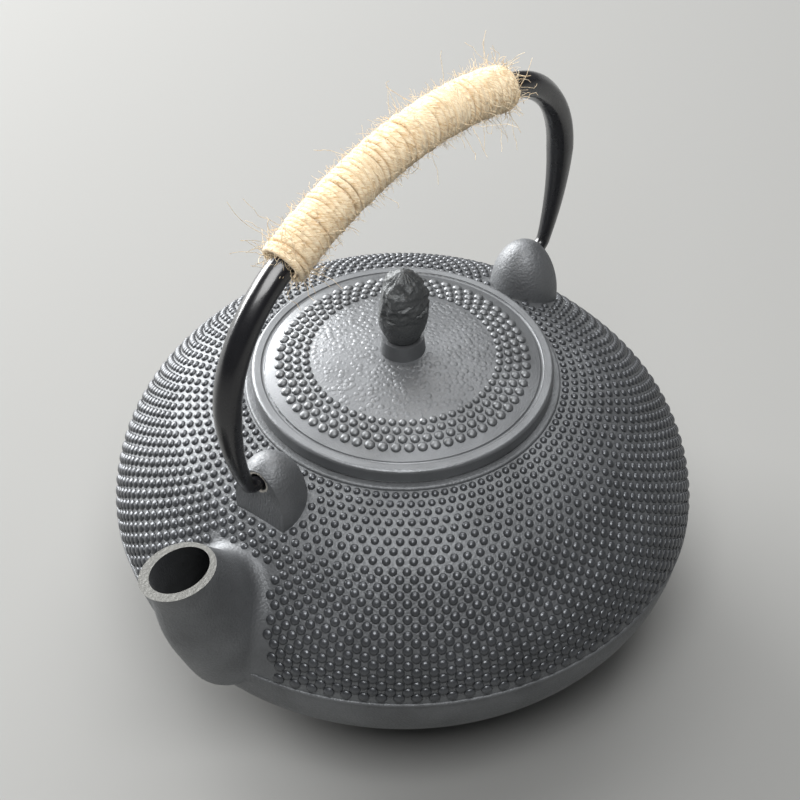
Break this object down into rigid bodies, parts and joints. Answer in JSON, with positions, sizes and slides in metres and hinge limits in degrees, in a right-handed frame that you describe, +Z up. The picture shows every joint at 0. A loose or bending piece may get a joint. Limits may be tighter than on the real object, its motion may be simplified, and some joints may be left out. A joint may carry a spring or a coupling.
{
  "type": "cast iron teapot",
  "caption": "Squat hobnail cast iron teapot with an open spout, a lift-off lid with bud knob, a hanging steel infuser and a swinging bail wrapped in jute.",
  "frame": {"origin": "on the pot's axis, on the plane it stands on", "axes": "+Z up along the pot's axis, +X towards the spout"},
  "size_m": [0.1894, 0.1672, 0.1782],
  "materials": {
    "cast_iron": "matt, fine sand grain",
    "steel": "satin",
    "black_paint": "gloss",
    "jute": "coarse yarn"
  },
  "bodies": {
    "pot": {"pot_body": "cast_iron"},
    "infuser": {"infuser_rim": "steel", "infuser_basket": "steel", "infuser_base": "steel"},
    "lid": {"lid": "cast_iron", "knob_collar": "cast_iron", "lid_knob": "cast_iron", "knob_washer": "steel", "knob_nut": "steel"},
    "bail": {"bail_handle": "black_paint", "jute_underlay": "jute", "jute_wrap": "jute"}
  },
  "joints": [
    {"name": "bail_swing", "type": "hinge", "parent": "pot", "child": "bail", "pos_m": [0, 0, 0.0934], "axis": [1, 0, 0], "range_deg": [-100, 100]},
    {"name": "infuser_lift", "type": "slide", "parent": "pot", "child": "infuser", "axis": [0, 0, 1], "range_m": [0, 0.036]},
    {"name": "lid_lift", "type": "slide", "parent": "infuser", "child": "lid", "axis": [0, 0, 1], "range_m": [0, 0.036]}
  ]
}
